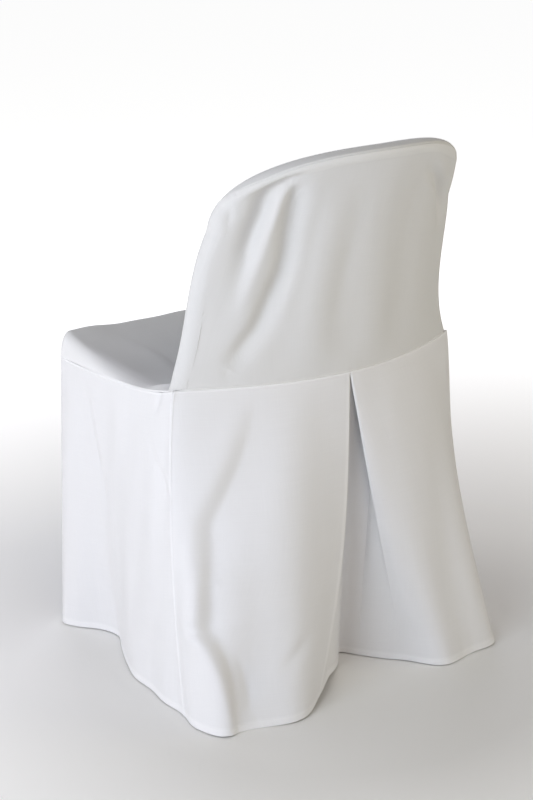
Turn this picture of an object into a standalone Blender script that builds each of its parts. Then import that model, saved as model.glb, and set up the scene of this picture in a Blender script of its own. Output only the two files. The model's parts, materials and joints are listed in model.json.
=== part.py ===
"""Loose fitted cover for a folding chair with a round, curved back, as it hangs on the chair.

The chair itself is left out, so the cover is hollow. It is modelled with the floor at z = 0, the
sitter facing -Y and the sitter's left at +X. An empty then moves it all, so that the world's origin
is the point under the middle of the hood's top where the chair's back holds the cloth up.
Every piece of cloth is an open grid of points, thickened on both sides of it.
"""

import math

import bmesh
import bpy
import numpy as np

# Driving dimensions, in metres
CLOTH = 0.0015  # thickness of every sheet
HELD_CLEARANCE = 0.002  # the top of the chair's back is this far under the cloth
SEAM_GAP = 0.0002  # each sheet stops this far from a seam that runs on flat
CORNER_GAP = 0.0011  # and this far from a seam where two sheets meet at an angle
SEAM_Z = 0.460  # height of the seam under the back
HEM_Z = 0.005  # lowest edge of the cloth
TOP_Z = 0.787  # highest seam point of the hood
SHOULDER_Z = 0.676  # where the sides of the hood turn into its crown
SEAM_HALF_WIDTH = 0.2325
SEAM_BULGE = 0.070  # how far the middle of the back curves out behind its ends
CROWN_BULGE = 0.065
SEAT_FRONT = -0.320  # y of the seat's front seam
CORNER_RADIUS = 0.022  # plan radius of the seat's front corners
SEAT_RIM_RISE = 0.036  # how far the front of the seat stands above its seam
FRONT_SEAM_Z = 0.4255
RIM_LENGTH = 0.045  # cloth length round the hood's rim, from back face to front face
PLEAT_FOLD = 0.060  # how far each side of the centre pleat is folded under
PLEAT_LAYER = 0.004  # distance between the pleat's layers at the top
PLEAT_CREASE = 0.003  # half the length of cloth that a crease of the pleat takes to turn
PLEAT_X = -0.006  # the pleat is a little right of the middle
BACK_LEAN = (0.020, 0.077)  # how far back the hood's edge leans at its top: evenly, then curving
HOOD_SIDE_DEPTH = 0.022  # distance between the hood's two faces at the sides
HOOD_TOP_DEPTH = 0.036  # at the top
HOOD_FOOT_DEPTH = 0.026  # and at the seat
RIM_RADIUS = 0.012
RIM_POWER = 2.4  # the rim's section is a superellipse with this power
CROWN_POWER = 2.5  # and so is the crown's outline
FOOT_HALF_WIDTH = 0.2195  # half width of the hood's cloth along the seam under it
ROLL_RADIUS = 0.020  # of the seat's side and front edges
SEAT_BACK_Z = 0.4475  # height of the seat's rear edge in the middle
DISH_DEPTH = (0.004, 0.013)  # how far the seat sags everywhere, and more where one sits

# Half width of the hood by height, up to the shoulder
SIDE_WIDTHS = ((0.460, 0.2325), (0.515, 0.2165), (0.610, 0.2065), (0.676, 0.1955))
# Folds of the outer back: depth, half width, then x and z of the points that each runs through
BACK_FOLDS = (
    (0.0095, 0.014, ((0.181, 0.748), (0.164, 0.715), (0.160, 0.685), (0.171, 0.645), (0.184, 0.590))),
    (0.0080, 0.016, ((0.124, 0.752), (0.122, 0.690), (0.127, 0.625), (0.144, 0.530), (0.162, 0.485))),
    (0.0050, 0.014, ((-0.073, 0.754), (-0.114, 0.717), (-0.152, 0.685), (-0.165, 0.640))),
)
# Troughs of the back skirt: depth, half width, then distance along the cloth and share of the way down
SKIRT_FOLDS = (
    (0.0090, 0.024, ((0.062, 0.02), (0.048, 0.29), (0.043, 0.46), (0.050, 0.60))),
    (0.0150, 0.015, ((0.048, 0.50), (0.053, 0.66), (0.072, 0.77), (0.092, 0.86), (0.094, 1.00))),
)
# Hem of the left side skirt: distance along the cloth from the back corner, then x and y.
# It swings inwards two thirds of the way forward, where a soft fold runs down the cloth.
LEFT_HEM = (
    (0.000, 0.252, 0.045),
    (0.080, 0.251, -0.037),
    (0.130, 0.247, -0.088),
    (0.180, 0.236, -0.134),
    (0.228, 0.217, -0.178),
    (0.272, 0.199, -0.220),
    (0.305, 0.209, -0.252),
    (0.340, 0.234, -0.284),
    (0.365, 0.243, -0.306),
    (0.390, 0.238, -0.328),
)
# Hem of the right side skirt in the same form, with x to the right. It swells out by the back corner.
RIGHT_HEM = (
    (0.000, 0.252, 0.045),
    (0.060, 0.284, -0.010),
    (0.130, 0.262, -0.085),
    (0.200, 0.240, -0.150),
    (0.260, 0.232, -0.208),
    (0.320, 0.246, -0.265),
    (0.365, 0.247, -0.306),
    (0.390, 0.240, -0.328),
)
# Hem of the back skirt, from the left corner: along the cloth, then x and y. The pleat has opened
# into a deep V, with its valley at 0.410, and both corners of the hem swing out behind.
BACK_HEM = (
    (0.000, 0.252, 0.045),
    (0.045, 0.257, 0.088),
    (0.080, 0.243, 0.119),
    (0.130, 0.196, 0.133),
    (0.190, 0.135, 0.144),
    (0.225, 0.103, 0.134),
    (0.260, 0.073, 0.115),
    (0.315, 0.030, 0.079),
    (0.375, -0.014, 0.037),
    (0.405, -0.036, 0.014),
    (0.430, -0.050, 0.029),
    (0.490, -0.093, 0.079),
    (0.560, -0.141, 0.131),
    (0.620, -0.200, 0.125),
    (0.672, -0.247, 0.113),
    (0.705, -0.254, 0.084),
    (0.740, -0.250, 0.045),
)

WHITE = (0.86, 0.86, 0.85, 1.0)
COOL_WHITE = (0.83, 0.85, 0.88, 1.0)


def clear_scene():
    for item in list(bpy.data.objects):
        bpy.data.objects.remove(item, do_unlink=True)


def cloth_material(name, colour):
    material = bpy.data.materials.new(name)
    material.use_nodes = True
    shader = material.node_tree.nodes["Principled BSDF"]
    shader.inputs["Base Color"].default_value = colour
    shader.inputs["Roughness"].default_value = 0.75
    shader.inputs["Metallic"].default_value = 0.0
    return material


def through(knots, values, at):
    """A smooth curve through values, one at each knot, read at the positions given."""
    knots = np.asarray(knots, float)
    values = np.asarray(values, float)
    slopes = np.gradient(values, knots, axis=0)
    place = np.clip(np.searchsorted(knots, at, side="right") - 1, 0, len(knots) - 2)
    step = knots[place + 1] - knots[place]
    part = ((at - knots[place]) / step)[:, None]
    step = step[:, None]
    start, end = values[place], values[place + 1]
    rise, fall = slopes[place] * step, slopes[place + 1] * step
    curve = start * (2 * part**3 - 3 * part**2 + 1) + end * (3 * part**2 - 2 * part**3)
    return curve + rise * (part**3 - 2 * part**2 + part) + fall * (part**3 - part**2)


def soft_step(value, start, end):
    part = np.clip((value - start) / (end - start), 0, 1)
    return part * part * (3 - 2 * part)


def bell(value, centre, width):
    return np.exp(-(((value - centre) / width) ** 2))


def trough(across, down, route, half_width, fade):
    """Depth, from 0 to 1, of a soft trough along a route, which fades in and out at its ends."""
    points = np.array(route)
    lengths = np.hypot(*np.diff(points, axis=0).T)
    knots = np.concatenate([[0], np.cumsum(lengths)])
    places = np.linspace(0, knots[-1], 60)
    line = through(knots, points, places)
    gap = np.hypot(across[..., None] - line[:, 0], down[..., None] - line[:, 1])
    nearest = gap.argmin(-1)
    along = places[nearest] / knots[-1]
    ends = soft_step(along, 0, fade) * soft_step(-along, -1, -1 + fade)
    return bell(gap.min(-1), 0, half_width) * ends


# The hood's form: a back face at y = back_y(x, z), a front face in front of it, and a round rim

WIDTH_FIT = np.polyfit([row[0] for row in SIDE_WIDTHS], [row[1] for row in SIDE_WIDTHS], 3)


def half_width(z):
    return np.polyval(WIDTH_FIT, np.minimum(z, SHOULDER_Z))


def back_y(x, z):
    rise = np.maximum((z - SEAM_Z) / (TOP_Z - SEAM_Z), 0)
    edge = BACK_LEAN[0] * rise + BACK_LEAN[1] * rise**2.2
    bulge = SEAM_BULGE + (CROWN_BULGE - SEAM_BULGE) * rise
    across = np.clip(np.abs(x) / half_width(z), 0, 1)
    return edge + bulge * (1 - across**1.9)


def hood_outline(share):
    """x and z of the hood's outline, from the left foot (share 0) over the top to the right foot (1)."""
    side_rows = np.linspace(SEAM_Z, SHOULDER_Z, 60)
    turn = np.linspace(0, math.pi / 2, 160)[1:]
    crown_x = half_width(SHOULDER_Z) * np.cos(turn) ** (2 / CROWN_POWER)
    crown_z = SHOULDER_Z + (TOP_Z - SHOULDER_Z) * np.sin(turn) ** (2 / CROWN_POWER)
    x = np.concatenate([half_width(side_rows), crown_x])
    z = np.concatenate([side_rows, crown_z])
    x = np.concatenate([x, -x[-2::-1]])
    z = np.concatenate([z, z[-2::-1]])
    length = np.concatenate([[0], np.cumsum(np.hypot(np.diff(x), np.diff(z)))])
    length /= length[-1]
    return np.interp(share, length, x), np.interp(share, length, z)


def hood_rim(share, turns):
    """Points round the rim: turn 0 is where it leaves the back face, 1 where it meets the front."""
    x, z = hood_outline(share)
    ahead = hood_outline(np.clip(share + 0.004, 0, 1))
    behind = hood_outline(np.clip(share - 0.004, 0, 1))
    normal_x, normal_z = behind[1] - ahead[1], ahead[0] - behind[0]
    size = np.hypot(normal_x, normal_z)
    normal_x, normal_z = -normal_x / size, -normal_z / size
    crown = np.sin(math.pi * share) ** 2
    thick = HOOD_SIDE_DEPTH + (HOOD_TOP_DEPTH - HOOD_SIDE_DEPTH) * crown
    rows = []
    for turn in turns:
        angle = math.pi * turn
        out = RIM_RADIUS * (np.sin(angle) ** (2 / RIM_POWER) - 1)
        px, pz = x + normal_x * out, z + normal_z * out
        along = np.sign(np.cos(angle)) * np.abs(np.cos(angle)) ** (2 / RIM_POWER)
        py = back_y(px, pz) - thick / 2 + along * thick / 2
        pz = pz + (seam_height(py) - SEAM_Z) * (1 - soft_step(pz, SEAM_Z, SEAM_Z + 0.03))
        rows.append(np.stack([px, py, pz], -1))
    return np.array(rows), thick


def seam_height(y):
    """Height of the seam that the hood and the seat stand on."""
    return np.where(y < 0, side_seam_z(np.minimum(y, 0)), SEAM_Z)


def seam_turn(share):
    """Where the seam lies on the rim: its back edge over the top, its front edge at the sides."""
    return 0.22 + 0.58 * soft_step(np.abs(share - 0.5), 0.16, 0.26)


def hood_share(count):
    """Shares of the outline, closer together where the back's folds are."""
    even = np.linspace(0, 1, 200)
    density = 1 + 1.3 * bell(even, 0.30, 0.12)
    total = np.concatenate([[0], np.cumsum((density[1:] + density[:-1]) / 2)])
    return np.interp(np.linspace(0, total[-1], count), total, even)


def outer_back_grid(columns, rim_rows, rows):
    share = hood_share(columns)
    stop = seam_turn(share) - CORNER_GAP / RIM_LENGTH
    grid = []
    for row in range(rim_rows):
        part = 1 - row / rim_rows
        turned = [hood_rim(share[i : i + 1], [stop[i] * part])[0][0, 0] for i in range(columns)]
        grid.append(np.array(turned))
    edge = hood_rim(share, [0.0])[0][0]
    foot_x = FOOT_HALF_WIDTH * np.cos(math.pi * share)
    foot_z = np.full(columns, SEAM_Z + SEAM_GAP)
    for row in range(rows + 1):
        part = row / rows
        x = edge[:, 0] * (1 - part) + foot_x * part
        z = np.maximum(edge[:, 2] * (1 - part) + foot_z * part, SEAM_Z + SEAM_GAP)
        sunk = sum(depth * trough(x, z, route, width, 0.25) for depth, width, route in BACK_FOLDS)
        grid.append(np.stack([x, back_y(x, z) - sunk * min(1, 2 * part), z], -1))
    grid = np.array(grid)
    lowest = seam_height(grid[:, :, 1]) + SEAM_GAP
    grid[:, :, 2] = np.maximum(grid[:, :, 2], lowest)
    return grid


def seat_back_z(x):
    """Height of the seat's rear edge, where the inner back meets it."""
    return SEAT_BACK_Z + 0.009 * (np.abs(x) / SEAM_HALF_WIDTH) ** 2


def inner_back_grid(columns, rim_rows, rows):
    share = hood_share(columns)
    start = seam_turn(share) + CORNER_GAP / RIM_LENGTH
    grid = []
    for row in range(rim_rows):
        part = row / rim_rows
        turned = [
            hood_rim(share[i : i + 1], [start[i] + (1 - start[i]) * part])[0][0, 0]
            for i in range(columns)
        ]
        grid.append(np.array(turned))
    rim, thick = hood_rim(share, [1.0])
    edge = rim[0]
    foot_x = FOOT_HALF_WIDTH * np.cos(math.pi * share)
    foot_z = seat_back_z(foot_x) + CORNER_GAP
    for row in range(rows + 1):
        part = row / rows
        x = edge[:, 0] * (1 - part) + foot_x * part
        z = edge[:, 2] * (1 - part) + foot_z * part
        depth = thick * (1 - part) + HOOD_FOOT_DEPTH * part
        grid.append(np.stack([x, back_y(x, z) - depth, z], -1))
    return np.array(grid)


# The skirts' top edges


def side_seam_z(y):
    return 0.425 + 0.006 * (1 + y / 0.31) + 0.029 * np.exp(y / 0.075)


def back_arc(count=400):
    """The seam under the back as x, y and distance along it from the left corner."""
    x = np.linspace(SEAM_HALF_WIDTH, -SEAM_HALF_WIDTH, count)
    y = back_y(x, SEAM_Z)
    along = np.concatenate([[0], np.cumsum(np.hypot(np.diff(x), np.diff(y)))])
    return x, y, along


def back_skirt_top(cloth):
    """x and y of the back skirt's top edge at distances along its cloth, with the pleat folded under."""
    x, y, along = back_arc()
    fold = np.interp(-PLEAT_X, -x, along)
    whole = along[-1] + 4 * PLEAT_FOLD
    turns = np.array([0, fold, fold + PLEAT_FOLD, fold + 3 * PLEAT_FOLD, fold + 4 * PLEAT_FOLD, whole])
    places = np.array([0, fold, fold - PLEAT_FOLD, fold + PLEAT_FOLD, fold, along[-1]])
    middle = fold + 2 * PLEAT_FOLD
    away = np.abs(cloth - middle)
    layer = PLEAT_LAYER * (
        soft_step(-away, -2 * PLEAT_FOLD - PLEAT_CREASE, -2 * PLEAT_FOLD + PLEAT_CREASE)
        + soft_step(-away, -PLEAT_FOLD - PLEAT_CREASE, -PLEAT_FOLD + PLEAT_CREASE)
    )
    place = np.interp(cloth, turns, places)
    px, py = np.interp(place, along, x), np.interp(place, along, y)
    return px, py - layer, whole


def grid_between(top, hem, rows, sway_x, sway_y):
    """Rows of points from a top edge to a hem.

    A sway of 1 is a straight fall, more than 1 hangs straight first and then swings out to the hem,
    and less than 1 swings out at once.
    """
    grid = []
    for down in np.linspace(0, 1, rows):
        out = np.stack([down**sway_x, down**sway_y, np.full(len(top), down)], -1)
        grid.append(top * (1 - out) + hem * out)
    return np.array(grid)


def pressed_in(grid, depth):
    """How far to move each point of a grid so that it sinks inwards, level, by the depth given."""
    along = np.gradient(grid, axis=1)[:, :, :2]
    size = np.maximum(np.hypot(along[..., 0], along[..., 1]), 1e-9)
    outward = np.stack([-along[..., 1] / size, along[..., 0] / size, np.zeros(size.shape)], -1)
    return -outward * depth[..., None]


def pleat_columns(whole, spacing):
    """Places along the back skirt's cloth, closer together at the four creases of the pleat."""
    x, _, along = back_arc()
    fold = np.interp(-PLEAT_X, -x, along)
    stops = [CORNER_GAP]
    for turn in (0, 1, 3, 4):
        crease = fold + PLEAT_FOLD * turn
        stops += [crease - PLEAT_CREASE, crease, crease + PLEAT_CREASE]
    stops.append(whole - CORNER_GAP)
    places = []
    for start, end in zip(stops, stops[1:]):
        count = max(1, round((end - start) / spacing))
        places += list(np.linspace(start, end, count, endpoint=False))
    return np.array(places + stops[-1:])


def back_skirt_grid(spacing, rows):
    whole = back_skirt_top(np.array([0.0]))[2]
    cloth = pleat_columns(whole, spacing)
    top_x, top_y, _ = back_skirt_top(cloth)
    top = np.stack([top_x, top_y, np.full(len(cloth), SEAM_Z - SEAM_GAP)], -1)
    hem_knots = np.array([row[0] for row in BACK_HEM]) * whole / BACK_HEM[-1][0]
    hem = through(hem_knots, [row[1:] for row in BACK_HEM], cloth)
    lift = 0.012 * bell(cloth, 0.285, 0.05)
    hem = np.concatenate([hem, (HEM_Z + lift)[:, None]], 1)
    corner = bell(np.minimum(cloth, whole - cloth), 0, 0.07)
    folded = bell(cloth, 0.275, 0.055)
    sway_x = 1.0 - 0.5 * corner + 2.4 * folded
    sway_y = 1.0 + 1.1 * corner + 2.4 * folded
    grid = grid_between(top, hem, rows, sway_x, sway_y)
    across = np.broadcast_to(cloth, grid.shape[:2])
    down = np.broadcast_to(np.linspace(0, 1, rows)[:, None], grid.shape[:2])
    for depth, width, route in SKIRT_FOLDS:
        route = [(place, share * SEAM_Z) for place, share in route]
        grid -= pressed_in(grid, depth * trough(across, down * SEAM_Z, route, width, 0.2))
    return grid


def front_corner(turn, radius, side_x, front_y):
    """A point on the rounded front corner of the left side: turn 0 faces the side and 1 the front."""
    angle = turn * math.pi / 2
    return (
        side_x - radius * (1 - math.cos(angle)),
        front_y + radius * (1 - math.sin(angle)),
    )


def side_skirt_grid(hem_points, columns, rows):
    """A side skirt on the sitter's left, from the back corner forward."""
    length = hem_points[-1][0]
    cloth = np.linspace(CORNER_GAP, length - CORNER_GAP, columns) / length
    corner = front_corner(0.5, CORNER_RADIUS, SEAM_HALF_WIDTH, SEAT_FRONT)
    quarter = front_corner(0.25, CORNER_RADIUS, SEAM_HALF_WIDTH, SEAT_FRONT)
    knots = (0, 0.33, 0.66, 0.92, 0.965, 1.0)
    plan = (
        (SEAM_HALF_WIDTH, 0.0),
        (SEAM_HALF_WIDTH + 0.0015, -0.105),
        (SEAM_HALF_WIDTH + 0.0005, -0.210),
        (SEAM_HALF_WIDTH, -0.284),
        quarter,
        corner,
    )
    top = through(knots, plan, cloth)
    top = np.concatenate([top, (side_seam_z(top[:, 1]) - SEAM_GAP)[:, None]], 1)
    hem_knots = np.array([row[0] for row in hem_points]) / length
    hem = through(hem_knots, [row[1:] for row in hem_points], cloth)
    hem = np.concatenate([hem, np.full((columns, 1), HEM_Z)], 1)
    corner = bell(cloth, 0, 0.18)
    fold = bell(cloth, 0.70, 0.22)
    sway_x = 0.75 - 0.25 * corner + 0.75 * fold
    sway_y = 1.0 + 1.1 * corner
    return grid_between(top, hem, rows, sway_x, sway_y)


def front_skirt_grid(columns, rows):
    across = np.linspace(1 - CORNER_GAP / SEAM_HALF_WIDTH, CORNER_GAP / SEAM_HALF_WIDTH - 1, columns)
    side_x, side_y = front_corner(0.5, CORNER_RADIUS, SEAM_HALF_WIDTH, SEAT_FRONT)
    near_x, near_y = front_corner(0.75, CORNER_RADIUS, SEAM_HALF_WIDTH, SEAT_FRONT)
    plan = [(side_x, side_y), (near_x, near_y), (0.190, SEAT_FRONT), (0.0, SEAT_FRONT - 0.002)]
    plan += [(-x, y) for x, y in plan[-2::-1]]
    knots = [1, 0.955, 0.80, 0.0, -0.80, -0.955, -1]
    top = through([-knot for knot in knots], plan, -across)
    top = np.concatenate([top, np.full((columns, 1), FRONT_SEAM_Z - SEAM_GAP)], 1)
    end_x, end_y = LEFT_HEM[-1][1:]
    wave = 0.006 * np.cos(across * math.pi * 3) * (1 - across**4)
    hem_y = end_y - 0.010 * (1 - across**6) + wave
    hem = np.stack([end_x * across, hem_y, np.full(columns, HEM_Z)], -1)
    sway_x = np.full(columns, 0.75)
    return grid_between(top, hem, rows, sway_x, np.ones(columns))


# The seat


def rounded_front(x, y):
    """Moves points of a square-cornered plan onto the one with rounded front corners."""
    inner_x, inner_y = SEAM_HALF_WIDTH - CORNER_RADIUS, SEAT_FRONT + CORNER_RADIUS
    over_x = np.maximum(np.abs(x) - inner_x, 0) / CORNER_RADIUS
    over_y = np.maximum(inner_y - y, 0) / CORNER_RADIUS
    new_x = over_x * np.sqrt(1 - over_y**2 / 2)
    new_y = over_y * np.sqrt(1 - over_x**2 / 2)
    x = np.where(over_x > 0, np.sign(x) * (inner_x + new_x * CORNER_RADIUS), x)
    y = np.where(over_y > 0, inner_y - new_y * CORNER_RADIUS, y)
    return x, y


def seat_grid(columns, rows, roll_rows):
    """The seat: a shallow dish whose side and front edges roll over and run down to the seam."""
    roll = np.linspace(0, 1, roll_rows + 1)[:-1]
    inset = ROLL_RADIUS * (1 - np.cos(roll * math.pi / 2))
    side = SEAM_HALF_WIDTH - 0.0008 - inset
    level = np.linspace(side[-1] - 0.006, -side[-1] + 0.006, columns)
    xs = np.concatenate([side, level, -side[::-1]])
    up_side = np.sin(np.concatenate([roll, np.ones(columns), roll[::-1]]) * math.pi / 2)
    fronts = SEAT_FRONT + 0.0008 + inset
    up_front = np.sin(np.concatenate([roll, np.ones(rows)]) * math.pi / 2)
    grid = []
    for row, front_up in enumerate(up_front):
        if row < roll_rows:
            y = np.full(len(xs), fronts[row])
        else:
            part = (row - roll_rows + 1) / rows
            back = back_y(xs, SEAM_Z) - HOOD_FOOT_DEPTH
            y = fronts[-1] * (1 - part) + back * part
        seam = side_seam_z(y) + SEAM_GAP
        rise = SEAT_RIM_RISE * np.clip(-y / 0.30, 0, 1) ** 2.4
        dish = 1 - np.clip(np.abs(xs) / 0.215, 0, 1) ** 2
        depth = DISH_DEPTH[0] + DISH_DEPTH[1] * bell(y, -0.12, 0.11)
        z = seam + rise * up_side * front_up - depth * dish * front_up
        back_share = soft_step(y, -0.10, 0.03) * up_side
        z = z * (1 - back_share) + seat_back_z(xs) * back_share
        x, y = rounded_front(xs, y)
        grid.append(np.stack([x, y, z], -1))
    return np.array(grid)


# Building


def add_sheet(name, grid, material, collection, parent, flip=False):
    """A thin sheet of cloth on a grid of points."""
    rows, columns = grid.shape[:2]
    mesh = bpy.data.meshes.new(name)
    shape = bmesh.new()
    points = [[shape.verts.new(point) for point in row] for row in grid]
    for i in range(rows - 1):
        for j in range(columns - 1):
            corners = (points[i][j], points[i + 1][j], points[i + 1][j + 1], points[i][j + 1])
            shape.faces.new(corners[::-1] if flip else corners)
    shape.to_mesh(mesh)
    shape.free()
    mesh.shade_smooth()
    mesh.materials.append(material)
    item = bpy.data.objects.new(name, mesh)
    collection.objects.link(item)
    item.parent = parent
    solid = item.modifiers.new("Cloth thickness", "SOLIDIFY")
    solid.thickness = CLOTH
    solid.offset = 0
    return item


def mirrored(grid):
    return grid[:, ::-1] * np.array([-1, 1, 1])


def main():
    clear_scene()
    collection = bpy.data.collections.new("Chair cover")
    bpy.context.scene.collection.children.link(collection)
    top_point = hood_rim(np.array([0.5]), [0.5])[0][0, 0]
    held = top_point - np.array([0, 0, CLOTH / 2 + HELD_CLEARANCE])
    origin = bpy.data.objects.new("Held by the chair", None)
    collection.objects.link(origin)
    origin.location = -held
    white = cloth_material("White cloth", WHITE)
    cool = cloth_material("White cloth of the skirts", COOL_WHITE)
    add_sheet("outer_back", outer_back_grid(42, 4, 11), white, collection, origin)
    add_sheet("inner_back", inner_back_grid(34, 4, 7), white, collection, origin, flip=True)
    add_sheet("seat_panel", seat_grid(12, 10, 3), white, collection, origin)
    add_sheet("side_skirt_left", side_skirt_grid(LEFT_HEM, 20, 9), cool, collection, origin)
    add_sheet("side_skirt_right", mirrored(side_skirt_grid(RIGHT_HEM, 20, 9)), cool, collection, origin)
    add_sheet("front_skirt", front_skirt_grid(16, 7), cool, collection, origin)
    add_sheet("back_skirt", back_skirt_grid(0.0168, 13), cool, collection, origin)


main()
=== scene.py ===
# %% [markdown]
# # A loose cover for a round-backed folding chair
#
# The object is one garment for a chair: a hood over its back, a seat, and four skirts down to the
# floor, with an inverted pleat in the middle of the back. It is sewn from one white, plain-woven
# polyester, so nearly all that the eye reads is form: soft folds, seams, hems and one deep pleat.
#
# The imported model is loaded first, as a frame that never moves. Each sheet of cloth below is a finer
# one that stands for its plain solid in the frame.

# %% Load the frame
import json
import math

import bpy
import numpy as np
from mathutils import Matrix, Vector


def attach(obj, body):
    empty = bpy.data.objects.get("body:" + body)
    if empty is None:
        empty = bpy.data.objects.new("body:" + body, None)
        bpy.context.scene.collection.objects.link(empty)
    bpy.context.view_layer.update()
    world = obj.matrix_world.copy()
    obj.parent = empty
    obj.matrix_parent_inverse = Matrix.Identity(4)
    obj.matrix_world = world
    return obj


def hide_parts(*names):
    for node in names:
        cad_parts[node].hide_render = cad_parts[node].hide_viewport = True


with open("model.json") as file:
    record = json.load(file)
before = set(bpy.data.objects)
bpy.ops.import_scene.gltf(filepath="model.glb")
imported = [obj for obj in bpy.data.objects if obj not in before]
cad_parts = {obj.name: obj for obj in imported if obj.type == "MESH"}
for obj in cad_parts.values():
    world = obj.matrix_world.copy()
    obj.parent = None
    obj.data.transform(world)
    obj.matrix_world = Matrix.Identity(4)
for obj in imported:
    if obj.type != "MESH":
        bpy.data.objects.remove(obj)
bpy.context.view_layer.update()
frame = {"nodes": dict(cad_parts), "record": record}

bpy.ops.object.select_all(action="DESELECT")
print("nodes in the frame:", ", ".join(sorted(frame["nodes"])))

# %% [markdown]
# ## The driving sizes
#
# A cover is cut to its chair, so a few of the chair's sizes set all the rest: the height of the seam
# under the back, the width of the seat, and how far the back curves and leans. Distances are in
# metres, in the cover's own frame: the floor is z = 0, the sitter faces -Y and their left is +X.
# At the end each point moves by one shift, which puts the point under the hood's top on the mount
# that the record names.

# %% The driving sizes
CLOTH = 0.0009  # thickness of the cloth
SEAM_GAP = 0.0002
SEAM_Z = 0.460
HEM_Z = 0.005
TOP_Z = 0.787
SHOULDER_Z = 0.676
SEAM_HALF_WIDTH = 0.2325
SEAM_BULGE = 0.070
CROWN_BULGE = 0.065
BACK_LEAN = (0.020, 0.077)
SEAT_FRONT = -0.320
CORNER_RADIUS = 0.022
FRONT_SEAM_Z = 0.4255
HELD_DEPTH = 0.00275  # the mount is this far under the middle of the hood's top
SEAM_STAND = 0.0007  # how far cloth stands up beside a seam
SEAM_DIP = 0.0004  # and how far it dips on the stitches


# %% [markdown]
# ## Helpers for smooth lines and soft folds
#
# Cloth has no corners of its own, so every line is a smooth curve through a few knots, and every fold
# is a soft trough that follows such a line. A fold in real cloth is rarely even: one side is steep,
# where the cloth is pulled tight, and the other eases out. So a fold takes two widths, and a depth at
# each of its knots. A minus depth gives a ridge.

# %% Helpers for lines and folds
def through(knots, values, at):
    """A smooth curve through values, one at each knot, read at the places given."""
    knots = np.asarray(knots, float)
    values = np.asarray(values, float)
    slopes = np.gradient(values, knots, axis=0)
    place = np.clip(np.searchsorted(knots, at, side="right") - 1, 0, len(knots) - 2)
    step = knots[place + 1] - knots[place]
    part = ((at - knots[place]) / step)[:, None]
    step = step[:, None]
    start, end = values[place], values[place + 1]
    rise, fall = slopes[place] * step, slopes[place + 1] * step
    curve = start * (2 * part**3 - 3 * part**2 + 1) + end * (3 * part**2 - 2 * part**3)
    return curve + rise * (part**3 - 2 * part**2 + part) + fall * (part**3 - part**2)


def soft_step(value, start, end):
    part = np.clip((value - start) / (end - start), 0, 1)
    return part * part * (3 - 2 * part)


def bell(value, centre, width):
    return np.exp(-(((value - centre) / width) ** 2))


def fold(across, down, knots, widths):
    """Depth of a fold at each point: knots are (across, down, depth), widths its two half widths."""
    knots = np.array(knots, float)
    lengths = np.hypot(*np.diff(knots[:, :2], axis=0).T)
    places = np.concatenate([[0], np.cumsum(lengths)])
    steps = np.linspace(0, places[-1], 90)
    line = through(places, knots, steps)
    flat_across, flat_down = across.ravel(), down.ravel()
    gap_across = flat_across[:, None] - line[:, 0]
    gap_down = flat_down[:, None] - line[:, 1]
    nearest = (gap_across**2 + gap_down**2).argmin(1)
    rows = np.arange(len(nearest))
    gap_across, gap_down = gap_across[rows, nearest], gap_down[rows, nearest]
    heading = np.gradient(line[:, :2], axis=0)[nearest]
    side = heading[:, 0] * gap_down - heading[:, 1] * gap_across
    width = np.where(side > 0, widths[0], widths[1])
    depth = line[nearest, 2] * np.exp(-((np.hypot(gap_across, gap_down) / width) ** 2))
    return depth.reshape(across.shape)


def spaced(start, end, coarse, fine=0.0008, band=0.008):
    """Places from start to end: fine steps within a band of both ends, and coarse ones between."""
    count = max(2, round((end - start - 2 * band) / coarse) + 1)
    edge = np.linspace(0, band, round(band / fine) + 1)[:-1]
    middle = np.linspace(start + band, end - band, count)
    return np.concatenate([start + edge, middle, end - edge[::-1]])


def waves(across, down, size, seed, slant=0.25):
    """Gentle unevenness: a few long waves whose crests run down the cloth, give or take the slant."""
    random = np.random.default_rng(seed)
    total = np.zeros(np.broadcast(across, down).shape)
    for _ in range(6):
        turn = random.uniform(-slant, slant)
        length = size * random.uniform(0.7, 1.6)
        phase = random.uniform(0, 2 * math.pi)
        total += np.sin(2 * math.pi / length * (across * math.cos(turn) + down * math.sin(turn)) + phase)
    return total / math.sqrt(6)


def gathers(along, length, seed):
    """Small uneven puckers along a line of stitches, about one in each length."""
    return waves(along, 0.0, length, seed, 0.0) * (0.6 + 0.4 * np.sin(along * 31 + seed))


def seam_roll(distance):
    """Height of cloth beside a seam: it stands up over its own allowance and dips to the stitches."""
    return SEAM_STAND * bell(distance, 0.0012, 0.0016) - SEAM_DIP * bell(distance, 0, 0.0006)


upright = ((0, 0, 1), (0, 1, 1))
print("a fold is deepest on its line:", fold(np.array([0.0]), np.array([0.5]), upright, (1, 1)))

# %% [markdown]
# ## From a grid of points to a sheet of cloth
#
# Each panel is worked out as a grid of points on the middle of the cloth. This helper gives the grid
# its thickness: a front and a back layer along the surface's normals, joined round the edge, so that
# the sheet is closed like real cloth. Modelling the thickness here, and not with a modifier, lets
# hems be thicker than the rest. The UV map holds distances along the cloth in metres, so a weave
# follows it through each fold. One attribute says where the cloth is doubled, and on the seat it also
# marks the rolled rim, which takes the lighter colour as a painted highlight.

# %% The sheet helper
white_collection = bpy.data.collections.new("Chair cover, finished")
bpy.context.scene.collection.children.link(white_collection)
panels = {}
SHARP_ANGLE = math.radians(60)


def outward_normals(grid, flip=False):
    normal = np.cross(np.gradient(grid, axis=0), np.gradient(grid, axis=1))
    normal /= np.maximum(np.linalg.norm(normal, axis=2, keepdims=True), 1e-12)
    return -normal if flip else normal


def cloth_places(grid):
    """Distance along the rows from the middle column, and down the columns from the top."""
    across = np.linalg.norm(np.diff(grid, axis=1), axis=2)
    down = np.linalg.norm(np.diff(grid, axis=0), axis=2)
    u = np.concatenate([np.zeros((grid.shape[0], 1)), np.cumsum(across, axis=1)], 1)
    v = np.concatenate([np.zeros((1, grid.shape[1])), np.cumsum(down, axis=0)], 0)
    return u - u[:, grid.shape[1] // 2][:, None], v


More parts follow.
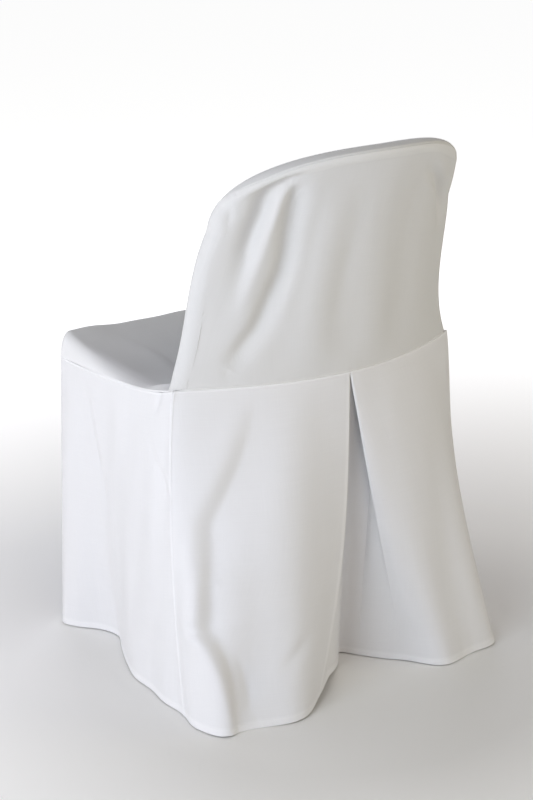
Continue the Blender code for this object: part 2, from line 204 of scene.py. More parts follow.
def panel_area(grid):
    across, down = grid[:-1, 1:] - grid[:-1, :-1], grid[1:, :-1] - grid[:-1, :-1]
    return float(np.linalg.norm(np.cross(across, down), axis=2).sum())


def sheet_object(name, grid, doubling_and_rim_light, extra=0.0, flip=False):
    """A closed sheet on a grid. Third argument: 0 for single cloth, 1 for doubled cloth and for the
    seat's painted rim highlight. Extra: added thickness.
    """
    rows, columns = grid.shape[:2]
    normal = outward_normals(grid, flip)
    half = np.ones((rows, columns)) * (CLOTH + extra) / 2
    front = (grid + normal * half[..., None]).reshape(-1, 3)
    back = (grid - normal * half[..., None]).reshape(-1, 3)
    points = np.concatenate([front, back]) + shift
    index = np.arange(rows * columns).reshape(rows, columns)
    corners = index[:-1, :-1], index[1:, :-1], index[1:, 1:], index[:-1, 1:]
    quads = np.stack(corners, -1).reshape(-1, 4)
    if flip:
        quads = quads[:, ::-1]
    under = quads[:, ::-1] + rows * columns
    loop = np.concatenate([index[0, :-1], index[:-1, -1], index[-1, :0:-1], index[:0:-1, 0]])
    ahead = np.roll(loop, -1)
    rim = np.stack([loop, ahead, ahead + rows * columns, loop + rows * columns], -1)
    if flip:
        rim = rim[:, ::-1]
    faces = np.concatenate([quads, under, rim])
    mesh = bpy.data.meshes.new(name)
    mesh.from_pydata(points.tolist(), [], faces.tolist())
    places = np.stack(cloth_places(grid), -1).reshape(-1, 2)
    places = np.concatenate([places, places])
    uv = mesh.uv_layers.new(name="Cloth")
    uv.uv.foreach_set("vector", places[faces.ravel()].astype(np.float32).ravel())
    doubled_and_rim_light = mesh.attributes.new("doubling_and_rim_light", "FLOAT", "POINT")
    doubled_and_rim_light.data.foreach_set("value", np.tile(doubling_and_rim_light.ravel(), 2).astype(np.float32))
    mesh.shade_smooth()
    mesh.set_sharp_from_angle(angle=SHARP_ANGLE)
    item = bpy.data.objects.new(name, mesh)
    white_collection.objects.link(item)
    u, v = cloth_places(grid)
    size = (float(np.ptp(u, axis=1).max()), float(v[-1].max()))
    area = panel_area(grid)
    panels[name] = {"object": item, "grid": grid, "size": size, "area": area, "flip": flip}
    print(f"{name}: {len(faces) * 2} triangles, cut {size[0]:.3f} x {size[1]:.3f} m, {area:.3f} m2")


def along_normals(grid, height, flip=False):
    return grid + outward_normals(grid, flip) * height[..., None]


# %% [markdown]
# ## The form of the hood
#
# The hood is drawn like a pillowcase over the chair's back. Its back face curves round from side to
# side and leans out towards the top. Its front face lies a finger's width in front. A round rim joins
# the two, and its one seam runs along the back edge over the top, then slides to the front edge down
# the sides. Every point on the hood comes from two numbers: its share of the way round the outline,
# and its turn round the rim from the back face (0) to the front face (1).

# %% The hood's form
SIDE_WIDTHS = ((0.460, 0.2325), (0.515, 0.2165), (0.610, 0.2065), (0.676, 0.1955))
HOOD_SIDE_DEPTH = 0.022
HOOD_TOP_DEPTH = 0.036
HOOD_FOOT_DEPTH = 0.026
FOOT_HALF_WIDTH = 0.2195
RIM_RADIUS = 0.012
RIM_POWER = 2.4
CROWN_POWER = 2.5
LEAN_POWER = 2.2
BACK_POWER = 1.9
RIM_LENGTH = 0.045
SEAM_TURN_TOP, SEAM_TURN_SIDES = 0.22, 0.80  # where the seam runs on the rim
SIDE_SEAM = (0.425, 0.006, 0.029)  # the seam on the seat's sides: height, and rises to each end
WIDTH_FIT = np.polyfit([row[0] for row in SIDE_WIDTHS], [row[1] for row in SIDE_WIDTHS], 3)


def half_width(z):
    return np.polyval(WIDTH_FIT, np.minimum(z, SHOULDER_Z))


def back_y(x, z):
    rise = np.maximum((z - SEAM_Z) / (TOP_Z - SEAM_Z), 0)
    edge = BACK_LEAN[0] * rise + BACK_LEAN[1] * rise**LEAN_POWER
    bulge = SEAM_BULGE + (CROWN_BULGE - SEAM_BULGE) * rise
    across = np.clip(np.abs(x) / half_width(z), 0, 1)
    return edge + bulge * (1 - across**BACK_POWER)


def outline_points():
    side_z = np.linspace(SEAM_Z, SHOULDER_Z, 120)
    turn = np.linspace(0, math.pi / 2, 400)[1:]
    x = np.concatenate([half_width(side_z), half_width(SHOULDER_Z) * np.cos(turn) ** (2 / CROWN_POWER)])
    crown = SHOULDER_Z + (TOP_Z - SHOULDER_Z) * np.sin(turn) ** (2 / CROWN_POWER)
    z = np.concatenate([side_z, crown])
    x = np.concatenate([x, -x[-2::-1]])
    z = np.concatenate([z, z[-2::-1]])
    length = np.concatenate([[0], np.cumsum(np.hypot(np.diff(x), np.diff(z)))])
    return length / length[-1], x, z


OUTLINE = outline_points()


def hood_outline(share):
    return np.interp(share, OUTLINE[0], OUTLINE[1]), np.interp(share, OUTLINE[0], OUTLINE[2])


def side_seam_z(y):
    low, forward, back = SIDE_SEAM
    return low + forward * (1 + y / 0.31) + back * np.exp(y / 0.075)


def seam_height(y):
    return np.where(y < 0, side_seam_z(np.minimum(y, 0)), SEAM_Z)


def hood_depth(share):
    return HOOD_SIDE_DEPTH + (HOOD_TOP_DEPTH - HOOD_SIDE_DEPTH) * np.sin(math.pi * share) ** 2


def hood_rim(share, turn):
    """Points round the hood's rim, for arrays of shares and turns."""
    x, z = hood_outline(share)
    near = 0.004
    ahead = hood_outline(np.clip(share + near, 0, 1))
    behind = hood_outline(np.clip(share - near, 0, 1))
    normal_x, normal_z = ahead[1] - behind[1], behind[0] - ahead[0]
    size = np.hypot(normal_x, normal_z)
    thick = hood_depth(share)
    angle = math.pi * turn
    out = RIM_RADIUS * (np.sin(angle) ** (2 / RIM_POWER) - 1)
    px, pz = x + normal_x / size * out, z + normal_z / size * out
    along = np.sign(np.cos(angle)) * np.abs(np.cos(angle)) ** (2 / RIM_POWER)
    py = back_y(px, pz) - thick / 2 + along * thick / 2
    pz = pz + (seam_height(py) - SEAM_Z) * (1 - soft_step(pz, SEAM_Z, SEAM_Z + 0.03))
    return np.stack([px, py, pz], -1)


def seam_turn(share):
    slide = soft_step(np.abs(share - 0.5), 0.16, 0.26)
    return SEAM_TURN_TOP + (SEAM_TURN_SIDES - SEAM_TURN_TOP) * slide


top_of_hood = hood_rim(np.array([0.5]), np.array([0.5]))[0]
mount = next(item for item in frame["record"]["mounts"] if item["name"] == "held_under_top")
shift = np.array(mount["pos_m"]) - (top_of_hood - np.array([0, 0, HELD_DEPTH]))
print("top of the hood at", np.round(top_of_hood, 4), "and the shift is", np.round(shift, 4))

# %% [markdown]
# ## The outside of the back
#
# This panel shows most, so it gets the most care. The cover is a little too wide for the chair, and
# the spare cloth falls from the left shoulder in two long folds that start near each other at the top
# seam, curve round, and fade out towards the seat. A short crease sits below the right shoulder. Under
# the top seam the cloth lies over its own allowance, which shows as a slightly raised band, and the
# stitching draws the seam into little puckers.

# %% The outside of the back
HOOD_FOLDS = (
    (((0.124, 0.757, 0.002), (0.133, 0.744, 0.01), (0.143, 0.73, 0.015), (0.146, 0.699, 0.016),
      (0.152, 0.664, 0.014), (0.158, 0.626, 0.006), (0.165, 0.59, 0.002), (0.172, 0.555, 0)),
     (0.015, 0.009)),
    (((0.121, 0.753, 0.002), (0.114, 0.727, 0.011), (0.111, 0.7, 0.015), (0.109, 0.667, 0.016),
      (0.108, 0.635, 0.016), (0.112, 0.603, 0.016), (0.122, 0.57, 0.014), (0.132, 0.54, 0.012),
      (0.151, 0.511, 0.009), (0.167, 0.486, 0.002)), (0.013, 0.015)),
    (((0.128, 0.735, -0.001), (0.135, 0.692, -0.003), (0.14, 0.642, -0.003), (0.148, 0.597, -0.002),
      (0.158, 0.555, 0)), (0.009, 0.009)),
    (((0.19, 0.722, 0.001), (0.185, 0.704, 0.003), (0.184, 0.68, 0)), (0.006, 0.006)),
    (((-0.085, 0.748, 0), (-0.11, 0.728, 0.005), (-0.146, 0.696, 0.009), (-0.166, 0.665, 0.007),
      (-0.17, 0.63, 0)), (0.009, 0.011)),
    (((0.088, 0.745, 0), (0.08, 0.69, 0.003), (0.08, 0.61, 0.003), (0.09, 0.53, 0)),
     (0.016, 0.016)),
    (((0.03, 0.75, 0), (0.02, 0.68, 0.002), (0.022, 0.56, 0.002), (0.03, 0.5, 0)),
     (0.018, 0.018)),
)
ALLOWANCE = 0.013  # width of the seam allowance under the cloth
BAND_RISE = 0.0004  # how far the cloth over it stands up


def hood_share(count):
    """Shares of the outline, closer together on the left, where the folds are."""
    even = np.linspace(0, 1, 400)
    density = 1 + 0.9 * bell(even, 0.30, 0.14)
    total = np.concatenate([[0], np.cumsum((density[1:] + density[:-1]) / 2)])
    return np.interp(np.linspace(0, total[-1], count), total, even)


def outer_back_grid(columns, rim_rows, rows):
    share = hood_share(columns)
    stop = seam_turn(share) - SEAM_GAP / RIM_LENGTH
    rim = [hood_rim(share, stop * part) for part in 1 - spaced(0, 1, 1 / rim_rows, 0.03, 0.15)[:-1]]
    edge = hood_rim(share, np.zeros(columns))
    foot_x = FOOT_HALF_WIDTH * np.cos(math.pi * share)
    foot_z = SEAM_Z + SEAM_GAP
    face = []
    for part in spaced(0, 1, 1 / rows, 0.003, 0.02):
        x = edge[:, 0] * (1 - part) + foot_x * part
        z = np.maximum(edge[:, 2] * (1 - part) + foot_z * part, foot_z)
        face.append(np.stack([x, back_y(x, z), z], -1))
    grid = np.array(rim + face)
    lowest = seam_height(grid[:, :, 1]) + SEAM_GAP
    grid[:, :, 2] = np.maximum(grid[:, :, 2], lowest)
    return grid, share


grid, share = outer_back_grid(columns=330, rim_rows=14, rows=96)
u, v = cloth_places(grid)
from_seam = v
from_foot = v[-1] - v
across, height = grid[:, :, 0], grid[:, :, 2]
sunk = sum(fold(across, height, knots, widths) for knots, widths in HOOD_FOLDS)
sunk *= soft_step(from_seam, 0.002, 0.016) * soft_step(from_foot, 0.0, 0.02)
over_top = bell(np.broadcast_to(share, v.shape), 0.5, 0.30)
left_shoulder = bell(np.broadcast_to(share, v.shape), 0.33, 0.05)
band = (1 - soft_step(from_seam, ALLOWANCE - 0.0015, ALLOWANCE + 0.0015)) * over_top
puckers = gathers(u, 0.012, 31) * (0.0005 * left_shoulder + 0.00012 * over_top)
puckers *= bell(from_seam, 0.005, 0.006)
foot_pull = 0.00015 * gathers(u, 0.013, 32) * bell(from_foot, 0.004, 0.005)
rolled = seam_roll(from_seam) * over_top + seam_roll(from_foot)
uneven = 0.0011 * waves(across, height, 0.11, 3)
uneven *= soft_step(from_seam, 0.008, 0.028) * soft_step(height, SEAM_Z, SEAM_Z + 0.05)
relief = -sunk + puckers + foot_pull + rolled + uneven + BAND_RISE * band
doubling_and_rim_light = np.maximum(band, 1 - soft_step(from_foot, 0.0015, 0.003))
sheet_object("outer_back_cloth", along_normals(grid, relief), doubling_and_rim_light)

# %% [markdown]
# ## The inside of the back
#
# The front of the hood is the other half of the pillowcase. It runs over the top of the chair to the
# top seam, so its upper edge is seen from behind as a narrow strip. It lies against the chair, so it
# is nearly smooth: a few long waves are enough.

# %% The inside of the back
SEAT_BACK_Z = 0.4475


def seat_back_z(x):
    return SEAT_BACK_Z + 0.009 * (np.abs(x) / SEAM_HALF_WIDTH) ** 2


def inner_back_grid(columns, rim_rows, rows):
    share = np.linspace(0, 1, columns)
    start = seam_turn(share) + SEAM_GAP / RIM_LENGTH
    parts = spaced(0, 1, 1 / rim_rows, 0.03, 0.12)[:-1]
    rim = [hood_rim(share, start + (1 - start) * part) for part in parts]
    edge = hood_rim(share, np.ones(columns))
    thick = hood_depth(share)
    foot_x = FOOT_HALF_WIDTH * np.cos(math.pi * share)
    foot_z = seat_back_z(foot_x) + SEAM_GAP
    face = []
    for part in np.linspace(0, 1, rows + 1):
        x = edge[:, 0] * (1 - part) + foot_x * part
        z = edge[:, 2] * (1 - part) + foot_z * part
        inward = thick * (1 - part) + HOOD_FOOT_DEPTH * part
        face.append(np.stack([x, back_y(x, z) - inward, z], -1))
    return np.array(rim + face), share


grid, share = inner_back_grid(columns=200, rim_rows=14, rows=70)
u, v = cloth_places(grid)
from_foot = v[-1] - v
over_top = bell(np.broadcast_to(share, v.shape), 0.5, 0.30)
uneven = 0.0010 * waves(grid[:, :, 0], grid[:, :, 2], 0.10, 5)
uneven *= soft_step(v, 0.02, 0.08) * soft_step(from_foot, 0.0, 0.04)
relief = uneven + seam_roll(v) * over_top
doubling_and_rim_light = (1 - soft_step(v, 0.0015, 0.003)) * over_top
sheet_object("inner_back_cloth", along_normals(grid, relief, flip=True), doubling_and_rim_light, flip=True)

# %% [markdown]
# ## The back skirt and its pleat
#
# The back skirt is one length of cloth with an inverted box pleat: each side is folded under by the
# same amount at the seam, so that the two folded edges meet in the middle, and the cloth behind them
# opens towards the hem. The whole length is laid out along one line here. Where the line doubles back
# on itself the pleat is folded, and each layer sits a little behind the one before. Below the seam
# every thread then falls its own way to the hem, whose plan has the pleat open in a deep V.

# %% The back skirt and its pleat
PLEAT_FOLD = 0.060
PLEAT_LAYER = 0.0022
PLEAT_CREASE = 0.0022
PLEAT_X = -0.006
PLEAT_TURNS = (0, 1, 3, 4)  # where the line doubles back, counted in folds from the first edge
BACK_HEM = (
    (0, 0.252, 0.045),
    (0.045, 0.257, 0.088),
    (0.08, 0.243, 0.119),
    (0.13, 0.196, 0.133),
    (0.19, 0.135, 0.144),
    (0.225, 0.103, 0.134),
    (0.26, 0.073, 0.115),
    (0.315, 0.03, 0.079),
    (0.375, -0.014, 0.037),
    (0.405, -0.036, 0.014),
    (0.43, -0.05, 0.029),
    (0.49, -0.093, 0.079),
    (0.56, -0.141, 0.131),
    (0.62, -0.2, 0.125),
    (0.672, -0.247, 0.113),
    (0.705, -0.254, 0.084),
    (0.74, -0.25, 0.045),
)


def back_arc(count=800):
    x = np.linspace(SEAM_HALF_WIDTH, -SEAM_HALF_WIDTH, count)
    y = back_y(x, SEAM_Z)
    return x, y, np.concatenate([[0], np.cumsum(np.hypot(np.diff(x), np.diff(y)))])


ARC_X, ARC_Y, ARC = back_arc()
PLEAT_START = float(np.interp(-PLEAT_X, -ARC_X, ARC))
BACK_CLOTH = float(ARC[-1]) + 4 * PLEAT_FOLD


def back_skirt_top(cloth):
    """x and y of the top edge at distances along the cloth, with the pleat folded under."""
    fold_at = PLEAT_START
    turns = [0, *(fold_at + PLEAT_FOLD * turn for turn in PLEAT_TURNS), BACK_CLOTH]
    places = [0, fold_at, fold_at - PLEAT_FOLD, fold_at + PLEAT_FOLD, fold_at, ARC[-1]]
    away = np.abs(cloth - fold_at - 2 * PLEAT_FOLD)
    layer = PLEAT_LAYER * (
        soft_step(-away, -2 * PLEAT_FOLD - PLEAT_CREASE, -2 * PLEAT_FOLD + PLEAT_CREASE)
        + soft_step(-away, -PLEAT_FOLD - PLEAT_CREASE, -PLEAT_FOLD + PLEAT_CREASE)
    )
    place = np.interp(cloth, turns, places)
    return np.interp(place, ARC, ARC_X), np.interp(place, ARC, ARC_Y) - layer


def grid_between(top, hem, shares, sway_x, sway_y):
    """Rows from a top edge to a hem. A sway over 1 hangs straight first and swings out later."""
    rows = []
    for down in shares:
        out = np.stack([down**sway_x, down**sway_y, np.full(len(top), down)], -1)
        rows.append(top * (1 - out) + hem * out)
    return np.array(rows)


def pleat_columns(spacing):
    stops = [SEAM_GAP]
    for turn in PLEAT_TURNS:
        stops.append(PLEAT_START + PLEAT_FOLD * turn)
    stops.append(BACK_CLOTH - SEAM_GAP)
    pairs = zip(stops, stops[1:])
    places = [spaced(start, end, spacing, 0.0005, 0.005)[:-1] for start, end in pairs]
    return np.concatenate(places + [stops[-1:]])


SKIRT_LENGTH = SEAM_Z - HEM_Z
PLEAT_LIFT = 0.012  # the hem rises this much where the flap folds under
cloth = pleat_columns(0.0030)
top_x, top_y = back_skirt_top(cloth)
top = np.stack([top_x, top_y, np.full(len(cloth), SEAM_Z - SEAM_GAP)], -1)
hem_knots = np.array([row[0] for row in BACK_HEM]) * BACK_CLOTH / BACK_HEM[-1][0]
hem = through(hem_knots, [row[1:] for row in BACK_HEM], cloth)
lifted = PLEAT_LIFT * bell(cloth, 0.285, 0.05)
hem = np.concatenate([hem, (HEM_Z + lifted)[:, None]], 1)
corner = bell(np.minimum(cloth, BACK_CLOTH - cloth), 0, 0.07)
folded = bell(cloth, 0.275, 0.055)
shares = spaced(0, SKIRT_LENGTH, 0.0045) / SKIRT_LENGTH
sway_x = 1.0 - 0.5 * corner + 2.4 * folded
sway_y = 1.0 + 1.1 * corner + 2.4 * folded
grid = grid_between(top, hem, shares, sway_x, sway_y)
print("the back skirt is", round(BACK_CLOTH, 3), "m along its cloth")

# %% [markdown]
# ## The finish that every skirt shares
#
# All the skirts have the same edges: cloth stands up beside each seam, the stitches draw it into small
# puckers, and the hem is doubled and sewn. So one helper works out the relief of a skirt, where its
# cloth is doubled, and how much thicker it is there. The folds are the only part that differs.

# %% Relief, layers and thickness of a skirt
HEM_DEPTH = 0.011
HEM_THICKER = 0.0004
STITCH_DIP = 0.0003
STITCH_LINE = HEM_DEPTH - 0.0015  # height of the hem's stitches


def skirt_relief(across, down, length, width, folds, wave, pull, hem_seed):
    """Wave and pull are the height, size and seed of the unevenness and of the seam's puckers."""
    relief = np.zeros(across.shape)
    for knots, widths in folds:
        relief -= fold(across, down, [(a, b * length, c) for a, b, c in knots], widths)
    from_hem = length - down
    from_side = np.minimum(across, width - across)
    relief += seam_roll(down) + seam_roll(from_side)
    relief += pull[0] * gathers(across, *pull[1:]) * bell(down, 0.006, 0.005)
    relief += 0.0003 * gathers(across, 0.017, hem_seed) * bell(from_hem, HEM_DEPTH, 0.007)
    uneven = wave[0] * waves(across, down, *wave[1:])
    relief += uneven * soft_step(down, 0, 0.08) * soft_step(from_side, 0, 0.02)
    hem_band = 1 - soft_step(from_hem, HEM_DEPTH - 0.0006, HEM_DEPTH + 0.0006)
    extra = HEM_THICKER * hem_band - STITCH_DIP * bell(from_hem, STITCH_LINE, 0.0010)
    seam_band = 1 - soft_step(down, 0.0022, 0.0035)
    side_band = 1 - soft_step(from_side, 0.0018, 0.003)
    return relief, np.maximum.reduce([hem_band, seam_band, side_band]), extra


print("the hem is", HEM_DEPTH, "m deep, and its stitches run", round(STITCH_LINE, 4), "m above its edge")

# %% [markdown]
# The left half of the skirt is pushed out by the chair's leg behind it and by the floor under it. One
# broad hollow bends down from the seam. Below it a rounded fold stands out beside the corner, and
# falls steeply into a shallow, crooked hollow that runs out at the hem. The right half has one long
# soft ridge beside the pleat.

# %% Folds of the back skirt
BACK_SKIRT_FOLDS = (
    (((0.118, 0.03, 0), (0.112, 0.107, 0.005), (0.104, 0.194, 0.01), (0.088, 0.294, 0.014),
      (0.069, 0.405, 0.015), (0.064, 0.498, 0.01), (0.062, 0.57, 0)), (0.016, 0.056)),
    (((0.071, 0.4, 0), (0.068, 0.498, 0.005), (0.067, 0.585, 0.009), (0.067, 0.65, 0.01),
      (0.066, 0.7, 0.01), (0.079, 0.748, 0.01), (0.092, 0.81, 0.011), (0.1, 0.876, 0.01),
      (0.105, 0.936, 0.009), (0.108, 1, 0.005)), (0.009, 0.062)),
    (((0.056, 0.4, 0), (0.052, 0.498, -0.006), (0.051, 0.585, -0.011), (0.051, 0.65, -0.013),
      (0.05, 0.7, -0.013), (0.063, 0.748, -0.013), (0.076, 0.81, -0.013), (0.084, 0.876, -0.012),
      (0.089, 0.936, -0.009), (0.092, 1, -0.004)), (0.026, 0.012)),
    (((0.215, 0.15, 0), (0.217, 0.4, -0.003), (0.215, 0.7, -0.004), (0.205, 1, -0.003)),
     (0.036, 0.026)),
    (((0.026, 0.712, 0), (0.04, 0.706, 0.003), (0.058, 0.716, 0.003), (0.07, 0.735, 0)),
     (0.004, 0.006)),
    (((0.1, 0.76, 0), (0.112, 0.82, 0.002), (0.122, 0.9, 0.003), (0.12, 0.96, 0)),
     (0.005, 0.007)),
    (((0.2, 0.745, 0), (0.192, 0.78, 0.003), (0.178, 0.812, 0.003), (0.16, 0.845, 0)),
     (0.009, 0.012)),
    (((0.12, 0.78, 0), (0.122, 0.86, 0.003), (0.118, 0.96, 0)), (0.018, 0.018)),
    (((0.5, 0.06, -0.001), (0.5, 0.3, -0.003), (0.503, 0.589, -0.004), (0.512, 0.82, -0.002)),
     (0.012, 0.02)),
    (((0.534, 0.06, 0.001), (0.545, 0.3, 0.003), (0.553, 0.56, 0.004), (0.557, 0.78, 0.003),
      (0.558, 0.96, 0)), (0.026, 0.04)),
    (((0.65, 0.1, 0), (0.63, 0.35, 0.003), (0.612, 0.62, 0.004), (0.6, 0.9, 0)),
     (0.026, 0.026)),
)

across = np.broadcast_to(cloth, grid.shape[:2])
down = np.broadcast_to(shares[:, None], grid.shape[:2]) * SKIRT_LENGTH
relief, doubling_and_rim_light, extra = skirt_relief(
    across, down, SKIRT_LENGTH, BACK_CLOTH, BACK_SKIRT_FOLDS, (0.0011, 0.10, 8), (0.00015, 0.014, 33), 34
)
first_edge = np.abs(across - PLEAT_START)
flap_edge = (1 - soft_step(first_edge, 0.006, 0.0075)) * (across <= PLEAT_START)
doubling_and_rim_light = np.maximum(doubling_and_rim_light, flap_edge)
sheet_object("back_skirt_cloth", along_normals(grid, relief), doubling_and_rim_light, extra)

# %% [markdown]
# ## The side and front skirts
#
# The side skirts hang from the curved seam round the seat. Each is wider at its hem than at the seam,
# and the spare cloth swings in and out: the left one turns in two thirds of the way forward, where a
# soft crease runs down it. The right one swells out near the back corner. The front skirt is the
# plainest panel, with three shallow waves.

# %% The side and front skirts
SIDE_LENGTH = 0.43  # from the seat's side seam to the hem
SKIRT_WAVE = (0.0010, 0.09)
SKIRT_PULL = (0.0002, 0.013)
LEFT_HEM = (
    (0, 0.252, 0.045),
    (0.08, 0.251, -0.037),
    (0.13, 0.247, -0.088),
    (0.18, 0.236, -0.134),
    (0.228, 0.217, -0.178),
    (0.272, 0.199, -0.22),
    (0.305, 0.209, -0.252),
    (0.34, 0.234, -0.284),
    (0.365, 0.243, -0.306),
    (0.39, 0.232, -0.327),
)
RIGHT_HEM = (
    (0, 0.252, 0.045),
    (0.06, 0.284, -0.01),
    (0.13, 0.262, -0.085),
    (0.2, 0.24, -0.15),
    (0.26, 0.232, -0.208),
    (0.32, 0.246, -0.265),
    (0.365, 0.247, -0.306),
    (0.39, 0.234, -0.327),
)
SIDE_FOLDS = {
    "left": (
        (((0.29, 0.06, 0), (0.278, 0.154, 0.002), (0.264, 0.328, 0.003), (0.239, 0.545, 0.003),
          (0.231, 0.739, 0.003), (0.262, 0.973, 0.001)), (0.006, 0.022)),
        (((0.08, 0.12, 0), (0.053, 0.201, 0.0015), (0.025, 0.274, 0.002), (0.004, 0.348, 0.001)),
         (0.006, 0.01)),
        (((0.04, 0, 0.002), (0.045, 0.03, 0.003), (0.052, 0.075, 0)), (0.006, 0.01)),
        (((0.15, 0.35, 0), (0.14, 0.6, 0.003), (0.135, 0.9, 0)), (0.03, 0.03)),
    ),
    "right": (
        (((0.1, 0.1, 0), (0.085, 0.35, 0.004), (0.09, 0.65, 0.004), (0.095, 0.95, 0.001)),
         (0.016, 0.024)),
        (((0.25, 0.15, 0), (0.24, 0.45, 0.004), (0.235, 0.8, 0.003), (0.23, 1, 0.001)),
         (0.02, 0.012)),
    ),
}


def front_corner(turn):
    """A point on the seat's rounded front corner: turn 0 faces the side and 1 the front."""
    angle = turn * math.pi / 2
    side = SEAM_HALF_WIDTH - CORNER_RADIUS * (1 - math.cos(angle))
    return side, SEAT_FRONT + CORNER_RADIUS * (1 - math.sin(angle))


def side_skirt(hem_points, folds, seed):
    """A side skirt on the sitter's left, from the back corner forward."""
    length = hem_points[-1][0]
    cloth = spaced(SEAM_GAP, length - SEAM_GAP, 0.0032)
    knots = (0, 0.33, 0.66, 0.90, 0.93, 0.967, 1.0)
    plan = (
        (SEAM_HALF_WIDTH, 0.0),
        (SEAM_HALF_WIDTH, -0.105),
        (SEAM_HALF_WIDTH, -0.210),
        (SEAM_HALF_WIDTH, -0.278),
        (SEAM_HALF_WIDTH - 0.0003, -0.2885),
        front_corner(0.25),
        front_corner(0.5),
    )
    top = through(knots, plan, cloth / length)
    top = np.concatenate([top, (side_seam_z(top[:, 1]) - SEAM_GAP)[:, None]], 1)
    hem = through([row[0] for row in hem_points], [row[1:] for row in hem_points], cloth)
    hem = np.concatenate([hem, np.full((len(cloth), 1), HEM_Z)], 1)
    corner = bell(cloth / length, 0, 0.18)
    fold_here = bell(cloth / length, 0.70, 0.22)
    shares = spaced(0, SIDE_LENGTH, 0.0045) / SIDE_LENGTH
    grid = grid_between(top, hem, shares, 0.75 - 0.25 * corner + 0.75 * fold_here, 1.0 + 1.1 * corner)
    across = np.broadcast_to(cloth, grid.shape[:2])
    down = np.broadcast_to(shares[:, None], grid.shape[:2]) * SIDE_LENGTH
    relief, doubling_and_rim_light, extra = skirt_relief(
        across, down, SIDE_LENGTH, length, folds, (*SKIRT_WAVE, seed), (*SKIRT_PULL, seed), seed + 1
    )
    return along_normals(grid, relief, flip=True), doubling_and_rim_light, extra


def mirrored(sheet):
    grid, doubling_and_rim_light, extra = sheet
    return grid[:, ::-1] * np.array([-1, 1, 1]), doubling_and_rim_light[:, ::-1], extra[:, ::-1]


grid, doubling_and_rim_light, extra = side_skirt(LEFT_HEM, SIDE_FOLDS["left"], 11)
sheet_object("side_skirt_left_cloth", grid, doubling_and_rim_light, extra, flip=True)
grid, doubling_and_rim_light, extra = mirrored(side_skirt(RIGHT_HEM, SIDE_FOLDS["right"], 12))
sheet_object("side_skirt_right_cloth", grid, doubling_and_rim_light, extra, flip=True)

# %% The front skirt
def front_skirt():
    edge = 1 + SEAM_GAP / SEAM_HALF_WIDTH  # its ends meet those of the side skirts
    place = -spaced(-edge, edge, 0.018, 0.0035, 0.03)
    plan = [front_corner(0.5), front_corner(0.75), (0.190, SEAT_FRONT), (0.0, SEAT_FRONT - 0.002)]
    plan += [(-x, y) for x, y in plan[-2::-1]]
    knots = [1, 0.955, 0.80, 0.0, -0.80, -0.955, -1]
    top = through([-knot for knot in knots], plan, -place)
    top = np.concatenate([top, np.full((len(place), 1), FRONT_SEAM_Z - SEAM_GAP)], 1)
    end_x, end_y = LEFT_HEM[-1][1:]
    wave = 0.006 * np.cos(place * math.pi * 3) * (1 - place**4)
    hem_y = end_y - 0.010 * (1 - place**16) + wave
    hem = np.stack([end_x * place, hem_y, np.full(len(place), HEM_Z)], -1)
    length = FRONT_SEAM_Z - HEM_Z
    shares = spaced(0, length, 0.0045) / length
    grid = grid_between(top, hem, shares, np.full(len(place), 0.75), np.ones(len(place)))
    across = np.broadcast_to((1 - place) * SEAM_HALF_WIDTH, grid.shape[:2])
    down = np.broadcast_to(shares[:, None], grid.shape[:2]) * length
    folds = (
        (((0.11, 0.15, 0), (0.12, 0.5, 0.004), (0.118, 0.95, 0.002)), (0.02, 0.03)),
        (((0.33, 0.1, 0), (0.345, 0.45, 0.004), (0.35, 0.95, 0.002)), (0.03, 0.018)),
    )
    width = 2 * SEAM_HALF_WIDTH
    relief, doubling_and_rim_light, extra = skirt_relief(
        across, down, length, width, folds, (*SKIRT_WAVE, 13), (*SKIRT_PULL, 13), 14
    )
    return along_normals(grid, relief, flip=True), doubling_and_rim_light, extra


grid, doubling_and_rim_light, extra = front_skirt()
sheet_object("front_skirt_cloth", grid, doubling_and_rim_light, extra, flip=True)

# %% [markdown]
# ## The seat
#
# The seat panel lies over the chair's seat: a shallow dish, whose side and front edges roll over and
# run down to the seam. It is drawn as rows from the front edge to the back, with close rows and
# columns where it rolls. Its back corners run in under the hood, and the spare cloth puckers there,
# where the seat, the hood and the side skirt meet. Two faint folds cross the dish.

# %% The seat
SEAT_RIM_RISE = 0.036
ROLL_RADIUS = 0.016
CORNER_TUCK = 0.012  # the seat's back corners run this far in under the hood
DISH_DEPTH = (0.004, 0.013)
DISH_HALF_WIDTH = 0.215
SEAT_FOLDS = (
    (((0.15, -0.29, 0), (0.12, -0.2, 0.002), (0.13, -0.1, 0.002), (0.16, -0.04, 0)),
     (0.02, 0.012)),
    (((-0.14, -0.28, 0), (-0.1, -0.19, 0.002), (-0.12, -0.09, 0.002), (-0.16, -0.03, 0)),
     (0.012, 0.02)),
    (((0.214, -0.02, 0.004), (0.2, -0.035, 0.003), (0.17, -0.055, 0)), (0.005, 0.009)),
    (((0.222, -0.06, -0.002), (0.214, -0.045, -0.003), (0.205, -0.02, -0.002)), (0.006, 0.006)),
    (((-0.214, -0.02, 0.004), (-0.2, -0.035, 0.003), (-0.17, -0.055, 0)), (0.009, 0.005)),
)


def rounded_front(x, y):
    """Moves points of a square-cornered plan onto the one with rounded front corners."""
    inner_x, inner_y = SEAM_HALF_WIDTH - CORNER_RADIUS, SEAT_FRONT + CORNER_RADIUS
    over_x = np.maximum(np.abs(x) - inner_x, 0) / CORNER_RADIUS
    over_y = np.maximum(inner_y - y, 0) / CORNER_RADIUS
    new_x = over_x * np.sqrt(1 - over_y**2 / 2)
    new_y = over_y * np.sqrt(1 - over_x**2 / 2)
    x = np.where(over_x > 0, np.sign(x) * (inner_x + new_x * CORNER_RADIUS), x)
    return x, np.where(over_y > 0, inner_y - new_y * CORNER_RADIUS, y)


